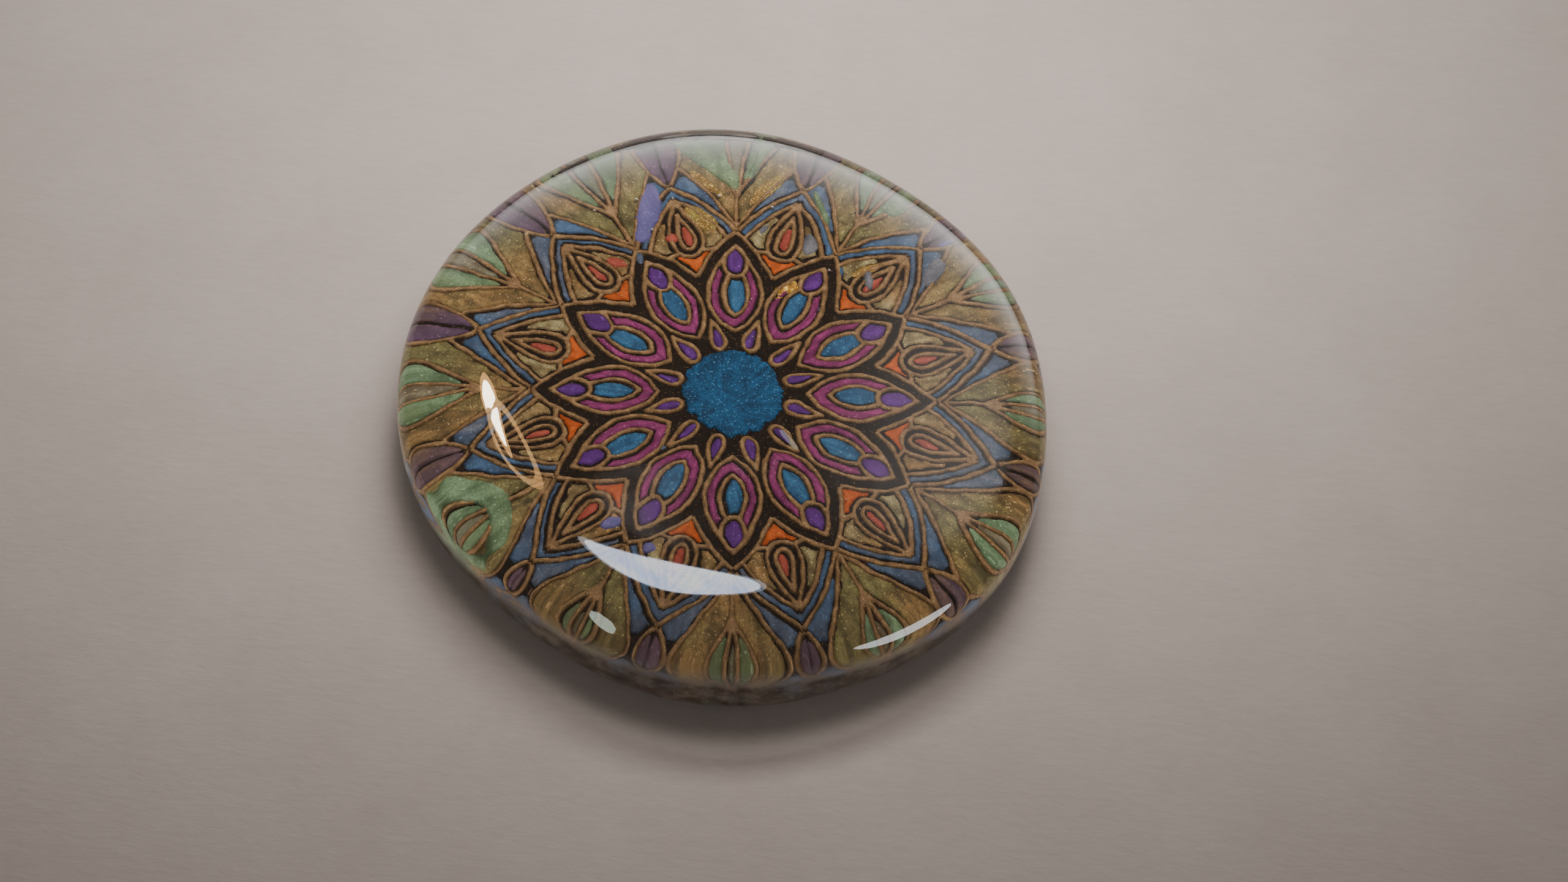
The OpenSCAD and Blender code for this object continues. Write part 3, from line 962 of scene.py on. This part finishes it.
def lamp(name, place, aim, length, width, radiance, colour):
    """A flat oval lamp that faces a point on the floor, in millimetres. No reflection shows it."""
    light = bpy.data.lights.new(name, "AREA")
    light.shape = "ELLIPSE"
    light.size, light.size_y = length * MM, width * MM
    # A flat lamp's power is its radiance times its area times pi
    area = math.pi / 4 * light.size * light.size_y
    light.energy = radiance * area * math.pi
    light.color = colour
    made = bpy.data.objects.new(name, light)
    made.location = Vector(place) * MM
    made.rotation_mode = "QUATERNION"
    made.rotation_quaternion = (Vector(place) - Vector(aim)).to_track_quat("Z", "Y")
    made.visible_glossy = made.visible_camera = False
    bpy.context.scene.collection.objects.link(made)


def sky(colour, strength):
    """The same faint light from all around."""
    world = bpy.data.worlds.new("studio")
    world.use_nodes = True
    background = world.node_tree.nodes["Background"]
    background.inputs["Color"].default_value = (*colour, 1.0)
    background.inputs["Strength"].default_value = strength
    bpy.context.scene.world = world


def grown(corners, middle, share):
    """Directions moved away from a middle one."""
    return [middle + share * (Vector(corner) - middle) for corner in corners]


def panel(name, corners, radiance, deep, pale, smooth=2, back=0.0):
    """A glowing panel with its corners in these directions from the object, rounded smooth times."""
    outline = [Vector(corner).normalized() * (REFLECTED_FROM + back) for corner in corners]
    for _ in range(smooth):
        outline = [q for a, b in zip(outline, outline[1:] + outline[:1])
                   for q in (0.75 * a + 0.25 * b, 0.25 * a + 0.75 * b)]
    middle = sum(outline, Vector()) / len(outline)
    n = len(outline)
    mesh = bpy.data.meshes.new(name)
    mesh.from_pydata([*outline, middle], [], [(i, (i + 1) % n, n) for i in range(n)])
    shining(name, mesh, radiance, deep, pale)


def hoop(name, start, end, wide, thick, radiance, deep, pale):
    """A thin glowing oval hoop whose length runs between two directions, sizes in metres."""
    start, end = (Vector(d).normalized() * REFLECTED_FROM for d in (start, end))
    middle, along = (start + end) / 2, (end - start) / 2
    across = along.cross(middle).normalized() * wide / 2
    n = 60
    rings = []
    for size in (1.0, 1.0 - 2 * thick / wide):
        rings.append([middle + size * (along * math.cos(t) + across * math.sin(t))
                      for t in (2 * math.pi * i / n for i in range(n))])
    mesh = bpy.data.meshes.new(name)
    faces = [(i, (i + 1) % n, n + (i + 1) % n, n + i) for i in range(n)]
    mesh.from_pydata(rings[0] + rings[1], [], faces)
    shining(name, mesh, radiance, deep, pale)


def dome_mesh(name, radius):
    """A dome around the object, in metres."""
    rows, around = 16, 64
    points = []
    for up in np.linspace(-0.1, math.pi / 2, rows + 1):
        for turn in np.linspace(0, 2 * math.pi, around, endpoint=False):
            flat = math.cos(up)
            points.append(radius * Vector((flat * math.cos(turn), flat * math.sin(turn), math.sin(up))))
    faces = [(row + i, row + (i + 1) % around, row + around + (i + 1) % around, row + around + i)
             for row in range(0, rows * around, around) for i in range(around)]
    mesh = bpy.data.meshes.new(name)
    mesh.from_pydata(points, [], faces)
    return mesh


def veil(colour, strength, low_glow, side_way, side_glow):
    """A dome of soft light that only reflections show.

    It glows low down behind the object, where the far rim reflects it, and around side_way.
    """
    n = Nodes("veil")
    towards = n.add("ShaderNodeVectorMath", operation="NORMALIZE")
    n.link(n.place, towards.inputs[0])
    way = towards.outputs["Vector"]
    # up is 0 at the horizon and 1 overhead
    _, _, up = n.parts(way)
    rising = n.soft(up, -0.05, 0.2, 0.25, 1.0)
    sinking = n.soft(up, 0.1, 0.75, low_glow, 0.0)
    behind = n.soft(n.along(way, REAR_WAY), 0.58, 1.0)
    low = n.sums("MULTIPLY", n.sums("MULTIPLY", rising, sinking), behind)
    side = n.soft(n.along(way, Vector(side_way).normalized()), 0.93, 1.0, 0.0, side_glow)
    total = n.sums("ADD", n.sums("ADD", low, side), strength)
    glowing("veil", dome_mesh("veil", VEIL_FROM), n, total, colour)


def shining(name, mesh, radiance, deep, pale):
    """Gives a panel its light, in soft streaks from one colour to another."""
    n = Nodes(name)
    glowing(name, mesh, n, radiance, n.ramp(n.noise(40.0, 2, 0.5), (0.35, deep), (0.6, pale)))


def glowing(name, mesh, n, radiance, colour):
    """Puts a glowing mesh on the stage, where only reflections and refractions show it."""
    glow = n.add("ShaderNodeEmission")
    for value, socket in ((radiance, "Strength"), (colour, "Color")):
        if isinstance(value, float):
            glow.inputs[socket].default_value = value
        elif isinstance(value, tuple):
            glow.inputs[socket].default_value = (*value, 1.0)
        else:
            n.link(value, glow.inputs[socket])
    n.link(glow.outputs["Emission"], n.output.inputs["Surface"])
    n.material.cycles.emission_sampling = "NONE"
    mesh.materials.append(n.material)
    made = bpy.data.objects.new(name, mesh)
    bpy.context.scene.collection.objects.link(made)
    made.visible_camera = made.visible_diffuse = made.visible_shadow = False


def windows():
    """The cool lights: a window overhead, one low on the right, a small pane and a faint glint."""
    window = [(-0.295, 0.175, 0.94), (-0.2, 0.192, 0.96), (-0.05, 0.2, 0.975), (0.07, 0.175, 0.98),
              (0.09, 0.115, 0.987), (-0.02, 0.078, 0.998), (-0.14, 0.045, 0.985), (-0.24, 0.09, 0.965)]
    centre = Vector((-0.1, 0.13, 0.98))
    panel("window", window, 20.0, SKY_BLUE, (0.88, 0.94, 1.0))
    panel("window_edge", grown(window, centre, 1.07), 5.0, SKY_BLUE, (0.8, 0.88, 1.0),
          back=EDGE_BACK)
    rim_window = [(0.575, -0.624, 0.529), (0.72, -0.56, 0.45), (0.889, -0.318, 0.36),
                  (0.87, -0.36, 0.1), (0.78, -0.56, 0.02), (0.65, -0.64, 0.2)]
    panel("rim_window", rim_window, 11.0, (0.85, 0.92, 1.0), (0.95, 0.98, 1.0))
    pane = [(-0.423, -0.313, 0.85), (-0.365, -0.44, 0.814), (-0.445, -0.645, 0.608),
            (-0.504, -0.486, 0.714)]
    panel("pane", pane, 9.0, (0.7, 0.9, 0.75), (0.9, 1.0, 0.9), smooth=1)
    glint = [(0.024, 0.515, 0.857), (0.031, 0.515, 0.857), (0.054, 0.492, 0.87),
             (0.047, 0.492, 0.87)]
    panel("glint", glint, 3.5, (0.8, 0.9, 0.85), (0.9, 1.0, 0.95), smooth=1)


def warm_light():
    """A small warm flame, white in its middle, with its bent tail and its ring."""
    flame = [(-0.4, 0.495, 0.775), (-0.412, 0.455, 0.795), (-0.39, 0.41, 0.826), (-0.365, 0.362, 0.86),
             (-0.357, 0.364, 0.861), (-0.362, 0.41, 0.838), (-0.362, 0.463, 0.808)]
    middle = Vector((-0.385, 0.44, 0.812))
    panel("flame", grown(flame, middle, 1.1), 90.0, (1.0, 0.8, 0.55), (1.0, 0.86, 0.65))
    panel("flame_edge", grown(flame, middle, 1.45), 14.0, (1.0, 0.5, 0.16), (1.0, 0.55, 0.2),
          back=EDGE_BACK)
    hoop("flame_ring", start=(-0.375, 0.452, 0.8), end=(-0.3, 0.262, 0.912), wide=0.056, thick=0.006,
         radiance=10.0, deep=(1.0, 0.45, 0.14), pale=(1.0, 0.6, 0.25))


def studio():
    """A faint even light, the lights that only reflections show, and one lamp."""
    sky((1.0, 0.96, 0.93), 0.11)
    veil((1.0, 0.98, 0.96), strength=0.1, low_glow=6.0, side_way=(0.39, 0.5, 0.775), side_glow=1.35)
    # Above and a little behind the object, turned towards the far floor, which it lights the most
    lamp("key", place=(4, 23, 78), aim=(-10, 72, 0), length=50, width=40, radiance=20.5,
         colour=(1.0, 0.955, 0.93))
    windows()
    warm_light()


floor()
studio()


def camera():
    """The photograph's own view: a long lens, from the front and fairly high. Millimetres."""
    eye = bpy.data.cameras.new("view")
    eye.sensor_width = 36.0
    eye.lens = 84.4
    eye.dof.use_dof = False
    made = bpy.data.objects.new("view", eye)
    tilt, distance, roll = math.radians(56.32), 217.1, math.radians(6.05)
    aim = Vector((GLASS_AT[0] + AIM_OFF[0], GLASS_AT[1] + AIM_OFF[1], CARD_TOP + PAINT_T))
    back = Vector((0, -math.cos(tilt), math.sin(tilt)))
    made.location = (aim + back * distance) * MM
    made.rotation_mode = "QUATERNION"
    level = back.to_track_quat("Z", "Y")
    made.rotation_quaternion = level @ Matrix.Rotation(roll, 3, "Z").to_quaternion()
    eye.clip_start, eye.clip_end = 0.01, 10.0
    bpy.context.scene.collection.objects.link(made)
    bpy.context.scene.camera = made


camera()
